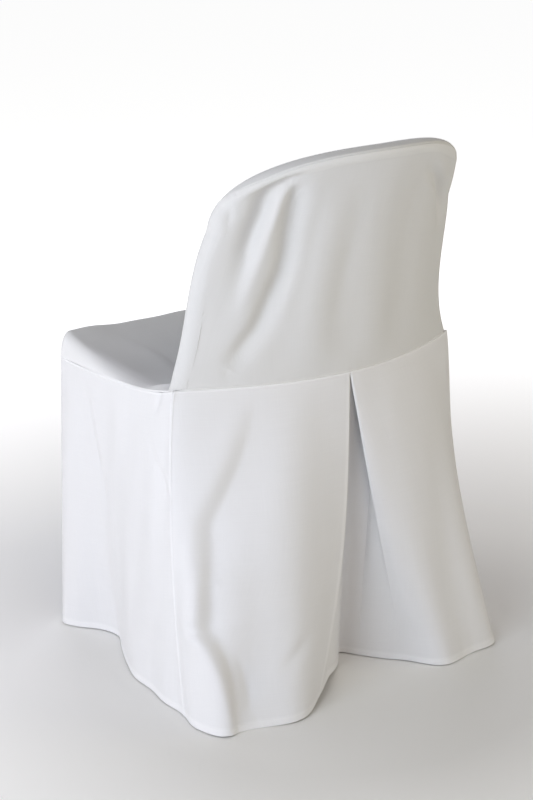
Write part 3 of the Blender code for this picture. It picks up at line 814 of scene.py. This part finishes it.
def seat_grid(columns, rows, roll_rows):
    roll = np.linspace(0, 1, roll_rows + 1)[:-1]
    inset = ROLL_RADIUS * (1 - np.cos(roll * math.pi / 2))
    side = SEAM_HALF_WIDTH - SEAM_GAP - inset
    level = np.linspace(side[-1] - 0.002, -side[-1] + 0.002, columns)
    xs = np.concatenate([side, level, -side[::-1]])
    up_side = np.sin(np.concatenate([roll, np.ones(columns), roll[::-1]]) * math.pi / 2)
    up_front = np.sin(np.concatenate([roll, np.ones(rows)]) * math.pi / 2)
    grid = []
    for row, front_up in enumerate(up_front):
        if row < roll_rows:
            y = np.full(len(xs), SEAT_FRONT + SEAM_GAP + inset[row])
        else:
            part = (row - roll_rows + 1) / rows
            tucked = CORNER_TUCK * bell(np.abs(xs), SEAM_HALF_WIDTH, 0.014)
            back = back_y(xs, SEAM_Z) - HOOD_FOOT_DEPTH + tucked
            y = (SEAT_FRONT + SEAM_GAP + inset[-1]) * (1 - part) + back * part
        seam = side_seam_z(y) + SEAM_GAP
        rise = SEAT_RIM_RISE * np.clip(-y / 0.30, 0, 1) ** 2.4
        dish = 1 - np.clip(np.abs(xs) / DISH_HALF_WIDTH, 0, 1) ** 2
        depth = DISH_DEPTH[0] + DISH_DEPTH[1] * bell(y, -0.12, 0.11)
        z = seam + rise * up_side * front_up - depth * dish * front_up
        back_share = soft_step(y, -0.10, 0.03) * up_side
        z = z * (1 - back_share) + seat_back_z(xs) * back_share
        x, y = rounded_front(xs, y)
        grid.append(np.stack([x, y, z], -1))
    return np.array(grid)


grid = seat_grid(columns=150, rows=110, roll_rows=16)
across, ahead = grid[:, :, 0], grid[:, :, 1]
sunk = sum(fold(across, ahead, knots, widths) for knots, widths in SEAT_FOLDS)
u, v = cloth_places(grid)
from_edge = np.minimum.reduce([u - u[:, :1], u[:, -1:] - u, v, v[-1] - v])
uneven = 0.0009 * waves(across, ahead, 0.09, 21, 1.2) * soft_step(from_edge, 0.0, 0.04)
pulled = 0.0002 * gathers(ahead, 0.013, 35) * bell(from_edge, 0.005, 0.005)
relief = uneven - sunk + pulled + seam_roll(from_edge)
from_rim = np.minimum.reduce([u - u[:, :1], u[:, -1:] - u, v])
# The seat's rim is marked as doubled cloth over a band far wider than its seam allowance, so that the
# rolled rim takes the lighter colour: a painted highlight.
doubling_and_rim_light = 1 - soft_step(from_rim, 0.020, 0.045)
sheet_object("seat_cloth", along_normals(grid, relief), doubling_and_rim_light)

# %% [markdown]
# ## Hem stitches
#
# The hem is turned up twice and sewn down with a lockstitch: a row of short stitches, each sunk a
# little into the cloth. One stitch is modelled from a small sphere, pulled out along the
# seam and flattened, and the row is made of copies of it, placed along the hem line of each skirt.
# Blender may number a new sphere's points differently each time, so they are put in order of place.

# %% One stitch
STITCH_LENGTH = 0.0026
STITCH_GAP = 0.0007
STITCH_WIDTH = 0.00045
STITCH_PROUD = 0.0002  # how far a stitch's middle stands above the cloth
ROW_MARGIN = 0.004  # bare cloth at each end of a row

bpy.ops.object.select_all(action="DESELECT")
bpy.ops.mesh.primitive_uv_sphere_add(segments=6, ring_count=5, radius=0.5)
stitch = bpy.context.object
bpy.ops.object.mode_set(mode="EDIT")
bpy.ops.mesh.select_all(action="SELECT")
bpy.ops.transform.rotate(value=math.pi / 2, orient_axis="Y", center_override=(0, 0, 0))
size = (STITCH_LENGTH, STITCH_WIDTH, STITCH_WIDTH * 0.8)
bpy.ops.transform.resize(value=size, center_override=(0, 0, 0))
bpy.ops.object.mode_set(mode="OBJECT")
points = np.array([vertex.co for vertex in stitch.data.vertices])
order = np.lexsort(np.round(points, 6).T)
number = np.argsort(order)
stitch_points = points[order]


def from_lowest(face):
    """A face's corners in the new numbering, starting from the lowest."""
    corners = [int(number[corner]) for corner in face.vertices]
    start = corners.index(min(corners))
    return corners[start:] + corners[:start]


stitch_faces = sorted(from_lowest(face) for face in stitch.data.polygons)
bpy.data.objects.remove(stitch, do_unlink=True)
print("one stitch has", len(stitch_faces), "faces")


# %% Rows of stitches
def stitch_row(name, panel):
    """Stitches along a skirt's hem line, on the outside of the cloth."""
    data = panels[panel]
    grid = data["grid"]
    _, v = cloth_places(grid)
    row = int(np.argmin(np.abs((v[-1] - v).mean(1) - STITCH_LINE)))
    line = grid[row]
    normal = outward_normals(grid, data["flip"])[row]
    length = np.concatenate([[0], np.cumsum(np.linalg.norm(np.diff(line, axis=0), axis=1))])
    places = np.arange(ROW_MARGIN, length[-1] - ROW_MARGIN, STITCH_LENGTH + STITCH_GAP)

    def along_row(values, at):
        return np.stack([np.interp(at, length, values[:, axis]) for axis in range(3)], -1)

    centre = along_row(line, places)
    ahead = along_row(line, places + 0.001) - centre
    out = along_row(normal, places)
    ahead /= np.linalg.norm(ahead, axis=1, keepdims=True)
    out /= np.linalg.norm(out, axis=1, keepdims=True)
    side = np.cross(out, ahead)
    centre = centre + out * (CLOTH / 2 + STITCH_PROUD) + shift
    points, faces = [], []
    for i in range(len(places)):
        base = len(points) * len(stitch_points)
        points.append(centre[i] + stitch_points @ np.array([ahead[i], side[i], out[i]]))
        faces += [[base + corner for corner in face] for face in stitch_faces]
    mesh = bpy.data.meshes.new(name)
    mesh.from_pydata(np.concatenate(points).tolist(), [], faces)
    mesh.shade_smooth()
    item = bpy.data.objects.new(name, mesh)
    white_collection.objects.link(item)
    print(f"{name}: {len(places)} stitches")
    return item


STITCHED = {
    "back_skirt_stitches": "back_skirt_cloth",
    "side_skirt_left_stitches": "side_skirt_left_cloth",
    "side_skirt_right_stitches": "side_skirt_right_cloth",
    "front_skirt_stitches": "front_skirt_cloth",
}
stitches = {name: stitch_row(name, panel) for name, panel in STITCHED.items()}

# %% [markdown]
# ## The weave
#
# Polyester for covers is a plain weave: each thread goes over one and under the next. Close to, the
# crossings make a fine grid of bumps, and threads that are a little thicker run as faint streaks in
# both directions. All three cloth materials need it, so it is one node group. It reads the cloth's
# own distances from the UV map, so the threads follow every fold.

# %% The weave group
THREAD_PITCH = 0.00042
CLOSE, LONG = 900.0, 16.0  # how often streaks follow each other in a metre, across and along them


def math_node(tree, operation, *values):
    node = tree.nodes.new("ShaderNodeMath")
    node.operation = operation
    for place, value in enumerate(values):
        if isinstance(value, (int, float)):
            node.inputs[place].default_value = value
        else:
            tree.links.new(value, node.inputs[place])
    return node.outputs[0]


def weave_group():
    group = bpy.data.node_groups.new("Plain weave", "ShaderNodeTree")
    face = group.interface
    for name, kind, direction, value in (
        ("Single Cloth", "NodeSocketColor", "INPUT", (0.8, 0.8, 0.8, 1)),
        ("Doubled Cloth And Rim Light", "NodeSocketColor", "INPUT", (0.9, 0.9, 0.9, 1)),
        ("Roughness", "NodeSocketFloat", "INPUT", 0.7),
        ("Streaks", "NodeSocketFloat", "INPUT", 0.03),
        ("Color", "NodeSocketColor", "OUTPUT", None),
        ("Roughness", "NodeSocketFloat", "OUTPUT", None),
        ("Height", "NodeSocketFloat", "OUTPUT", None),
    ):
        socket = face.new_socket(name=name, in_out=direction, socket_type=kind)
        if value is not None:
            socket.default_value = value
    nodes, links = group.nodes, group.links
    start, end = nodes.new("NodeGroupInput"), nodes.new("NodeGroupOutput")
    uv = nodes.new("ShaderNodeUVMap")
    uv.uv_map = "Cloth"
    parts = nodes.new("ShaderNodeSeparateXYZ")
    links.new(uv.outputs["UV"], parts.inputs[0])
    u, v = parts.outputs[0], parts.outputs[1]
    over = math_node(group, "SINE", math_node(group, "MULTIPLY", u, math.pi / THREAD_PITCH))
    under = math_node(group, "SINE", math_node(group, "MULTIPLY", v, math.pi / THREAD_PITCH))
    crossing = math_node(group, "ABSOLUTE", math_node(group, "MULTIPLY", over, under))
    streaks = []
    for across, along in ((CLOSE, LONG), (LONG, CLOSE)):
        place = nodes.new("ShaderNodeCombineXYZ")
        links.new(math_node(group, "MULTIPLY", u, across), place.inputs[0])
        links.new(math_node(group, "MULTIPLY", v, along), place.inputs[1])
        noise = nodes.new("ShaderNodeTexNoise")
        noise.inputs["Scale"].default_value = 1.0
        noise.inputs["Detail"].default_value = 3.0
        links.new(place.outputs[0], noise.inputs["Vector"])
        streaks.append(noise.outputs["Fac"])
    streak = math_node(group, "SUBTRACT", math_node(group, "ADD", *streaks), 1.0)
    # The attribute picks the doubled colour: doubled cloth, and on the seat a painted highlight on its
    # rim.
    doubling_and_rim_light = nodes.new("ShaderNodeAttribute")
    doubling_and_rim_light.attribute_name = "doubling_and_rim_light"
    mix = nodes.new("ShaderNodeMix")
    mix.data_type = "RGBA"
    links.new(doubling_and_rim_light.outputs["Fac"], mix.inputs["Factor"])
    links.new(start.outputs["Single Cloth"], mix.inputs["A"])
    links.new(start.outputs["Doubled Cloth And Rim Light"], mix.inputs["B"])
    tone = math_node(group, "MULTIPLY_ADD", streak, start.outputs["Streaks"], 1.0)
    shaded = nodes.new("ShaderNodeVectorMath")
    shaded.operation = "SCALE"
    links.new(mix.outputs["Result"], shaded.inputs[0])
    links.new(tone, shaded.inputs["Scale"])
    links.new(shaded.outputs[0], end.inputs["Color"])
    rough = math_node(group, "MULTIPLY_ADD", streak, 0.12, start.outputs["Roughness"])
    links.new(rough, end.inputs["Roughness"])
    height = math_node(group, "MULTIPLY_ADD", streak, 0.8, math_node(group, "POWER", crossing, 0.6))
    links.new(height, end.inputs["Height"])
    return group


WEAVE = weave_group()
outputs = [item.name for item in WEAVE.interface.items_tree if item.in_out == "OUTPUT"]
print("the weave group puts out:", outputs)

# %% [markdown]
# ## The cloth materials
#
# All the cloth is one white polyester, but it gets three copies of its colour. The hood's and the
# seat's are darker and a little warmer than the skirts': painted shade, on top of the shade that the
# lights give. Doubled cloth looks whiter, and on the seat the lighter colour is a painted highlight on
# the rolled rim. A soft sheen stands for the fine fibres that catch light at a glancing angle.

# %% The cloth materials


def cloth_material(name, single, doubled_and_rim_light):
    material = bpy.data.materials.new(name)
    material.use_nodes = True
    tree = material.node_tree
    shader = tree.nodes["Principled BSDF"]
    weave = tree.nodes.new("ShaderNodeGroup")
    weave.node_tree = WEAVE
    weave.inputs["Single Cloth"].default_value = (*single, 1)
    weave.inputs["Doubled Cloth And Rim Light"].default_value = (*doubled_and_rim_light, 1)
    weave.inputs["Roughness"].default_value = 0.72
    weave.inputs["Streaks"].default_value = 0.05
    tree.links.new(weave.outputs["Color"], shader.inputs["Base Color"])
    tree.links.new(weave.outputs["Roughness"], shader.inputs["Roughness"])
    bump = tree.nodes.new("ShaderNodeBump")
    bump.inputs["Strength"].default_value = 0.35
    bump.inputs["Distance"].default_value = 0.0001
    tree.links.new(weave.outputs["Height"], bump.inputs["Height"])
    tree.links.new(bump.outputs["Normal"], shader.inputs["Normal"])
    shader.inputs["Sheen Weight"].default_value = 0.15
    shader.inputs["Sheen Roughness"].default_value = 0.5
    shader.inputs["Specular IOR Level"].default_value = 0.3
    return material


def thread_material(name, colour):
    """Sewing thread: the twist of its two plies shows as fine slanting bands."""
    material = bpy.data.materials.new(name)
    material.use_nodes = True
    tree = material.node_tree
    shader = tree.nodes["Principled BSDF"]
    place = tree.nodes.new("ShaderNodeTexCoord")
    twist = tree.nodes.new("ShaderNodeTexWave")
    twist.bands_direction = "DIAGONAL"
    twist.inputs["Scale"].default_value = 900.0
    tree.links.new(place.outputs["Object"], twist.inputs["Vector"])
    shade = tree.nodes.new("ShaderNodeMix")
    shade.data_type = "RGBA"
    shade.inputs["A"].default_value = (*[0.9 * part for part in colour], 1)
    shade.inputs["B"].default_value = (*colour, 1)
    tree.links.new(twist.outputs["Fac"], shade.inputs["Factor"])
    tree.links.new(shade.outputs["Result"], shader.inputs["Base Color"])
    shader.inputs["Roughness"].default_value = 0.55
    return material


# The darker single colours of the hood and the seat are painted shade, and the seat's lighter colour is
# its painted rim highlight.
hood_cloth = cloth_material("White cloth over the back, painted shade", (0.68, 0.68, 0.675), (0.71, 0.71, 0.70))
seat_cloth = cloth_material("White cloth over the seat, painted shade and rim highlight", (0.65, 0.65, 0.645), (0.79, 0.79, 0.795))
skirt_cloth = cloth_material("White cloth of the skirts", (0.765, 0.765, 0.775), (0.81, 0.81, 0.82))
thread = thread_material("White sewing thread", (0.88, 0.88, 0.88))

# %% [markdown]
# ## Pieces and bodies
#
# Each sheet now takes its material, rides on the root body, and stands for one solid of the frame.

# %% Pieces and bodies
FINISH = (
    ("outer_back_cloth", "outer_back", "white_cloth", hood_cloth, "stretched", ["inner_back_cloth"]),
    ("inner_back_cloth", "inner_back", "white_cloth", hood_cloth, "stretched", ["outer_back_cloth"]),
    ("seat_cloth", "seat_panel", "white_cloth", seat_cloth, "laid", ["inner_back_cloth"]),
    ("side_skirt_left_cloth", "side_skirt_left", "skirt_cloth", skirt_cloth, "hung", ["seat_cloth"]),
    ("side_skirt_right_cloth", "side_skirt_right", "skirt_cloth", skirt_cloth, "hung", ["seat_cloth"]),
    ("front_skirt_cloth", "front_skirt", "skirt_cloth", skirt_cloth, "hung", ["seat_cloth"]),
    ("back_skirt_cloth", "back_skirt", "skirt_cloth", skirt_cloth, "hung", ["outer_back_cloth"]),
)
for name, node, slot, material, held, rests_on in FINISH:
    panel = panels[name]
    item = panel["object"]
    item.data.materials.append(material)
    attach(item, "root")
    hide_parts(node)
for item in stitches.values():
    item.data.materials.append(thread)
    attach(item, "root")

# %% [markdown]
# ## Floor, light and camera
#
# The cover stands on a plain pale floor. Well away from the cover the floor glows up to white: painted
# light for a studio's lit surround, which also lights the cloth a little. Broad soft lights stand all
# round it, as they do in a room for product shots.
# The strongest stands behind the sitter's left, and two more light that side, so it is the brightest,
# the back turns slowly into shade, and the seat lies in the shade of the back. The right light is warm.

# %% Floor
FLOOR_RADIUS = 24.0
FLOOR_GAP = 0.0015  # the hem hangs just clear of the floor
GREY_RADIUS = 0.34  # the floor starts to brighten this far from the cover's middle
WHITE_RADIUS = 1.90
GLOW = 0.93
GLOW_ON_CLOTH = 0.2  # share of the surround's brightness that also lights the cloth

bpy.ops.object.select_all(action="DESELECT")
bpy.ops.mesh.primitive_circle_add(vertices=96, radius=FLOOR_RADIUS, fill_type="NGON", location=(0, 0, 0))
floor = bpy.context.object
floor.name = "Floor"
floor.data.transform(floor.matrix_world)
floor.matrix_world.identity()
for vertex in floor.data.vertices:
    vertex.co.z = shift[2] + HEM_Z - FLOOR_GAP
    vertex.co.y += shift[1]


def floor_material():
    material = bpy.data.materials.new("Pale floor")
    material.use_nodes = True
    tree = material.node_tree
    shader = tree.nodes["Principled BSDF"]
    place = tree.nodes.new("ShaderNodeTexCoord")
    centred = tree.nodes.new("ShaderNodeMapping")
    centred.inputs["Location"].default_value = (0.0, -float(shift[1]), -float(shift[2]))
    tree.links.new(place.outputs["Object"], centred.inputs["Vector"])
    length = tree.nodes.new("ShaderNodeVectorMath")
    length.operation = "LENGTH"
    tree.links.new(centred.outputs[0], length.inputs[0])
    # The floor's glow is painted light for a lit surround: camera rays see all of it, the cloth gets a
    # fifth.
    glow = tree.nodes.new("ShaderNodeMapRange")
    glow.inputs["From Min"].default_value = GREY_RADIUS
    glow.inputs["From Max"].default_value = WHITE_RADIUS
    glow.inputs["To Max"].default_value = GLOW
    tree.links.new(length.outputs["Value"], glow.inputs["Value"])
    rays = tree.nodes.new("ShaderNodeLightPath")
    seen = tree.nodes.new("ShaderNodeMapRange")
    seen.inputs["To Min"].default_value = GLOW_ON_CLOTH
    tree.links.new(rays.outputs["Is Camera Ray"], seen.inputs["Value"])
    strength = tree.nodes.new("ShaderNodeMath")
    strength.operation = "MULTIPLY"
    tree.links.new(glow.outputs[0], strength.inputs[0])
    tree.links.new(seen.outputs[0], strength.inputs[1])
    tree.links.new(strength.outputs[0], shader.inputs["Emission Strength"])
    shader.inputs["Emission Color"].default_value = (1, 1, 1, 1)
    shader.inputs["Base Color"].default_value = (0.80, 0.795, 0.78, 1)
    shader.inputs["Roughness"].default_value = 0.6
    return material


floor.data.materials.append(floor_material())

# %% Light
scene = bpy.context.scene
scene.view_settings.view_transform = "Standard"
world = bpy.data.worlds.new("Pale surround")
scene.world = world
world.use_nodes = True
surround = world.node_tree.nodes["Background"]
surround.inputs["Color"].default_value = (1.0, 1.0, 1.0, 1)
surround.inputs["Strength"].default_value = 0.04


def soft_light(name, place, size, power, colour):
    data = bpy.data.lights.new(name, "AREA")
    data.shape = "RECTANGLE"
    data.size, data.size_y = size
    data.energy = power
    data.color = colour
    item = bpy.data.objects.new(name, data)
    scene.collection.objects.link(item)
    item.location = Vector(place) + Vector(shift)
    heading = Vector(MIDDLE) - Vector(place)
    item.rotation_euler = heading.to_track_quat("-Z", "Y").to_euler()


MIDDLE = (0, 0, 0.45)  # every light is turned towards this point
WIDE, TALL, LOW = (1.6, 1.6), (1.4, 1.4), (1.4, 0.8)
LIGHTS = (
    ("Left back light", (2.2, 0.9, 1.2), WIDE, 34.0, (0.81, 0.89, 1.00)),
    ("Left front light", (1.6, -1.9, 1.2), WIDE, 15.5, (1.00, 0.97, 0.92)),
    ("Left low light", (2.3, -0.2, 0.5), LOW, 11.0, (1.00, 0.93, 0.96)),
    ("Back light", (-0.2, 1.9, 2.6), TALL, 10.0, (1.00, 0.93, 0.85)),
    ("Camera light", (1.2, 2.6, 1.8), TALL, 16.0, (1.00, 0.89, 0.81)),
    ("Right light", (-1.9, 1.6, 1.2), WIDE, 17.0, (1.00, 0.95, 0.78)),
    ("Front light", (-0.9, -2.2, 1.8), (1.8, 1.8), 24.0, (0.90, 0.90, 1.00)),
)
for name, place, size, power, colour in LIGHTS:
    soft_light(name, place, size, power, colour)
print("the strongest light has", max(light[3] for light in LIGHTS), "W")

# %% Camera
CAMERA_PLACE = (1.5606, 2.1091, 1.3289)
CAMERA_TILT = 70.5
CAMERA_TURN = 145.0

camera_data = bpy.data.cameras.new("Camera")
camera_data.lens = 90.0
camera_data.sensor_width = 36.0
camera = bpy.data.objects.new("Camera", camera_data)
scene.collection.objects.link(camera)
camera.location = Vector(CAMERA_PLACE) + Vector(shift)
camera.rotation_euler = (math.radians(CAMERA_TILT), 0.0, math.radians(CAMERA_TURN))
scene.camera = camera
